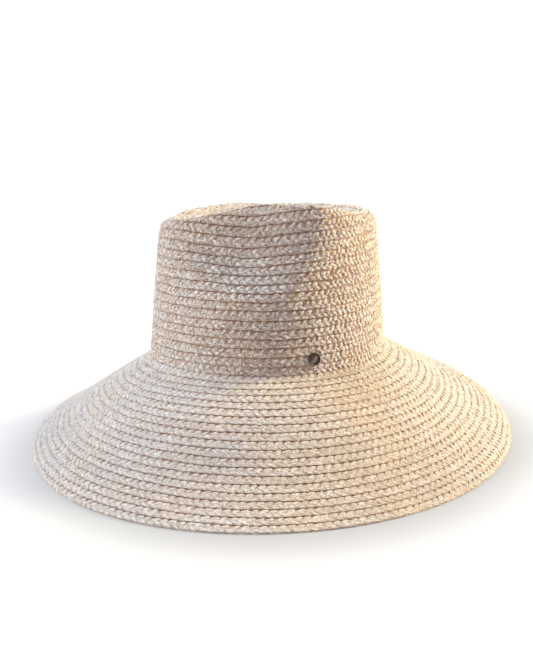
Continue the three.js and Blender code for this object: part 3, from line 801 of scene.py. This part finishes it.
def soft(profile, keep=(0,)):
    """Rounds a profile's corners with a short spline."""
    p = np.array(profile, float)
    for _ in range(2):
        q = [p[0]]
        for i in range(len(p) - 1):
            q += [p[i] * .75 + p[i + 1] * .25, p[i] * .25 + p[i + 1] * .75]
        q.append(p[-1])
        p = np.array(q)
    return p


R0 = STUD_R
CAP = soft([[0, 0], [R0 - .25, 0], [R0, .2], [R0, 1.05], [R0 - .22, 1.42], [R0 - .6, 1.55], [R0 - .95, 1.42],
            [R0 - 1.15, 1.02], [R0 - 1.4, .80], [R0 - 1.75, .80], [R0 - 1.95, 1.08], [R0 - 2.2, 1.2],
            [R0 - 2.45, 1.1], [R0 - 2.62, .95], [R0 - 2.85, .98], [1.3, 1.22], [.7, 1.36], [0, 1.42]])
POST = soft([[0, -.3], [1.5, -.3], [1.5, -3.4], [3.45, -3.4], [3.5, -3.7], [3.4, -4.1], [3.0, -4.3],
             [1.9, -4.32], [1.2, -4.2], [0, -4.15]])
CAP[:, 0] = np.where(CAP[:, 0] < 1e-6, 0, CAP[:, 0])


def metal_material(name):
    m, nt, bsdf = material(name)
    rad = attr(nt, "rad")
    tc = node(nt, "ShaderNodeTexCoord")
    n1 = node(nt, "ShaderNodeTexNoise", i_Scale=1500.0, i_Detail=4.0, i_Roughness=.6)
    n2 = node(nt, "ShaderNodeTexNoise", i_Scale=380.0, i_Detail=3.0, i_Roughness=.55)
    for q in (n1, n2):
        nt.links.new(tc.outputs["Object"], q.inputs["Vector"])
    ring = ramp(nt, [(0.0, (.155, .125, .105)), (.26, (.15, .13, .11)), (.40, (.085, .075, .062)), (.50, (.20, .195, .165)),
                     (.62, (.10, .10, .083)), (.74, (.075, .077, .063)), (.84, (.13, .135, .11)), (1.0, (.11, .11, .09))],
                mathn(nt, "DIVIDE", rad, STUD_R))
    tarn = ramp(nt, [(.35, (.55, .5, .47)), (.55, (1, 1, 1)), (.75, (1.25, 1.15, 1.05))], n2.outputs["Fac"])
    col = mix(nt, ring.outputs["Color"], tarn.outputs["Color"], .8, "MULTIPLY")
    # copper shows through in spots at the middle
    n3 = node(nt, "ShaderNodeTexNoise", i_Scale=760.0, i_Detail=1.0, i_Roughness=.5)
    nt.links.new(tc.outputs["Object"], n3.inputs["Vector"])
    worn = ramp(nt, [(.40, (.25, .25, .25)), (.47, (0, 0, 0)), (.50, (0, 0, 0)), (.60, (1, 1, 1))], n3.outputs["Fac"])
    mid = ramp(nt, [(.0, (1, 1, 1)), (.34, (.9, .9, .9)), (.48, (0, 0, 0))], mathn(nt, "DIVIDE", rad, STUD_R))
    col = mix(nt, col, (.42, .28, .21), mathn(nt, "MULTIPLY", worn.outputs["Color"], mid.outputs["Color"]))
    nt.links.new(col, bsdf.inputs["Base Color"])
    bsdf.inputs["Metallic"].default_value = .85
    rr = mathn(nt, "MULTIPLY_ADD", n1.outputs["Fac"], .35, .28)
    nt.links.new(rr, bsdf.inputs["Roughness"])
    bump = node(nt, "ShaderNodeBump", i_Strength=.35, i_Distance=.0001)
    nt.links.new(n1.outputs["Fac"], bump.inputs["Height"])
    nt.links.new(bump.outputs[0], bsdf.inputs["Normal"])
    return m


METAL = metal_material("dark_metal")
piece(lathe("stud_cap_turned", CAP, 96), METAL, "dark_metal", "stud_cap")
piece(lathe("stud_post_turned", POST, 64), METAL, "dark_metal", "stud_post")

# ---------------------------------------------------------------- camera
# fitted to the braid rows and the outline: distance, height over the hem, focal length in pixels
CAM_D, CAM_H, CAM_F, PITCH, YAW, ROLL = 971.36, 247.53, 1335.03, .2398, -.0003, .0232
cam_data = bpy.data.cameras.new("camera")
cam = bpy.data.objects.new("camera", cam_data)
bpy.context.scene.collection.objects.link(cam)
cy, sy, cp, sp, cr, sr = math.cos(YAW), math.sin(YAW), math.cos(PITCH), math.sin(PITCH), math.cos(ROLL), math.sin(ROLL)
ex, ey, ez = Vector((cy, -sy, 0)), Vector((sy, cy, 0)), Vector((0, 0, 1))
fwd = ey * cp - ez * sp
up0 = ey * sp + ez * cp
right = ex * cr - up0 * sr
up = ex * sr + up0 * cr
rot = Matrix((right, up, -fwd)).transposed()
at = Vector(metres(np.array([0.0, -CAM_D, CAM_H])))
cam.matrix_world = Matrix.Translation(at) @ rot.to_4x4()
cam_data.sensor_fit = "AUTO"
cam_data.sensor_width = 36
cam_data.lens = CAM_F / 666 * 36
cam_data.clip_start, cam_data.clip_end = .05, 400
bpy.context.scene.camera = cam

# ---------------------------------------------------------------- stage and light
FLOOR_R, SEGS = 1.7, 96
floor_mesh = bpy.data.meshes.new("floor")
floor_mesh.from_pydata([(FLOOR_R * math.cos(2 * math.pi * i / SEGS), FLOOR_R * math.sin(2 * math.pi * i / SEGS), 0)
                        for i in range(SEGS)], [], [tuple(range(SEGS))])
floor = bpy.data.objects.new("floor", floor_mesh)
bpy.context.scene.collection.objects.link(floor)
fm, fnt, fb = material("floor_white")
fb.inputs["Roughness"].default_value = .9
fb.inputs["Specular IOR Level"].default_value = .1
# the floor fades into the white backdrop
ftc = node(fnt, "ShaderNodeTexCoord")
fl = node(fnt, "ShaderNodeVectorMath", operation="LENGTH")
fnt.links.new(ftc.outputs["Object"], fl.inputs[0])
fr = node(fnt, "ShaderNodeMapRange", clamp=True, interpolation_type="SMOOTHSTEP")
fr.inputs["From Min"].default_value = .55
fr.inputs["From Max"].default_value = 1.5
fr.inputs["To Min"].default_value = 1
fr.inputs["To Max"].default_value = 0
fnt.links.new(fl.outputs["Value"], fr.inputs["Value"])
fnt.links.new(fr.outputs["Result"], fb.inputs["Alpha"])
# a dim table that glows, with a painted soft grey shadow under the hat and a little way out from its hem, where its
# colour and glow both fade
fmap = node(fnt, "ShaderNodeMapping")
fmap.inputs["Scale"].default_value = (1 / .1815, 1 / .2145, 0)
fmap.inputs["Location"].default_value = (0, .10, 0)
fnt.links.new(ftc.outputs["Object"], fmap.inputs["Vector"])
fd = node(fnt, "ShaderNodeVectorMath", operation="LENGTH")
fnt.links.new(fmap.outputs[0], fd.inputs[0])
floor_painted_shadow = node(fnt, "ShaderNodeMapRange", clamp=True, interpolation_type="SMOOTHSTEP")
floor_painted_shadow.inputs["From Min"].default_value = .84
floor_painted_shadow.inputs["From Max"].default_value = 1.24
floor_painted_shadow.inputs["To Min"].default_value = .60
floor_painted_shadow.inputs["To Max"].default_value = 1.0
fnt.links.new(fd.outputs["Value"], floor_painted_shadow.inputs["Value"])
fc = node(fnt, "ShaderNodeVectorMath", operation="SCALE")
fc.inputs[0].default_value = (.34, .34, .34)
fnt.links.new(floor_painted_shadow.outputs["Result"], fc.inputs["Scale"])
fnt.links.new(fc.outputs[0], fb.inputs["Base Color"])
fnt.links.new(floor_painted_shadow.outputs["Result"], fb.inputs["Emission Color"])
GLOW = .66
fb.inputs["Emission Strength"].default_value = GLOW
floor_mesh.materials.append(fm)

# studio light from all round: a soft box in front, behind, left, right and above, and the floor's bounce below
SKY = {"front": (.11, .10, .10), "back": (.38, .46, .46), "left": (.70, .61, .56), "right": (.69, .12, .10),
       "top": (.13, .29, .41), "low": (.4, .4, .4)}
world = bpy.data.worlds.new("world")
bpy.context.scene.world = world
world.use_nodes = True


def sky(world, boxes):
    nt = world.node_tree
    nt.nodes.clear()
    tc = nt.nodes.new("ShaderNodeTexCoord")
    sep = nt.nodes.new("ShaderNodeSeparateXYZ")
    nt.links.new(tc.outputs["Generated"], sep.inputs[0])
    total = None
    for key, axis, sign in (("front", 1, -1), ("back", 1, 1), ("left", 0, -1), ("right", 0, 1),
                            ("top", 2, 1), ("low", 2, -1)):
        v = mathn(nt, "MAXIMUM", mathn(nt, "MULTIPLY", sep.outputs[axis], float(sign)), 0.0)
        v = mathn(nt, "MULTIPLY", v, v)
        sc = nt.nodes.new("ShaderNodeVectorMath")
        sc.operation = "SCALE"
        sc.inputs[0].default_value = boxes[key]
        nt.links.new(v, sc.inputs["Scale"])
        if total is None:
            total = sc.outputs[0]
        else:
            ad = nt.nodes.new("ShaderNodeVectorMath")
            nt.links.new(total, ad.inputs[0])
            nt.links.new(sc.outputs[0], ad.inputs[1])
            total = ad.outputs[0]
    bg = nt.nodes.new("ShaderNodeBackground")
    out = nt.nodes.new("ShaderNodeOutputWorld")
    nt.links.new(total, bg.inputs["Color"])
    # the backdrop itself shows plain white
    white = nt.nodes.new("ShaderNodeBackground")
    white.inputs["Color"].default_value = (1.1, 1.1, 1.1, 1)
    ray = nt.nodes.new("ShaderNodeLightPath")
    pick = nt.nodes.new("ShaderNodeMixShader")
    nt.links.new(ray.outputs["Is Camera Ray"], pick.inputs[0])
    nt.links.new(bg.outputs[0], pick.inputs[1])
    nt.links.new(white.outputs[0], pick.inputs[2])
    nt.links.new(pick.outputs[0], out.inputs[0])


sky(world, SKY)


def area(name, azimuth, elevation, dist, size, power, colour, look=(0, 0, .09)):
    """azimuth in degrees from the front, image right positive."""
    d = bpy.data.lights.new(name, "AREA")
    d.shape = "DISK"
    d.size = size
    d.energy = power
    d.color = colour
    o = bpy.data.objects.new(name, d)
    bpy.context.scene.collection.objects.link(o)
    a, e = math.radians(azimuth), math.radians(elevation)
    p = Vector((math.sin(a) * math.cos(e), -math.cos(a) * math.cos(e), math.sin(e))) * dist + Vector(look)
    o.location = p
    o.rotation_mode = "QUATERNION"
    o.rotation_quaternion = (Vector(look) - p).to_track_quat("-Z", "Y")
    return o


area("key_right", 102, 28, 5, 1.6, 360, (1.0, .885, .555))
area("soft_left", -90, 40, 5, 2.6, 175, (1.0, .965, .975))
area("soft_over", 180, 62, 5, 3.0, 42, (.45, .60, 1.0))

sc = bpy.context.scene
sc.view_settings.view_transform = "Standard"
sc.view_settings.look = "None"
sc.view_settings.exposure = 0
sc.view_settings.gamma = 1

# ---------------------------------------------------------------- sizes and end
print("TRIS", counts, sum(counts.values()))
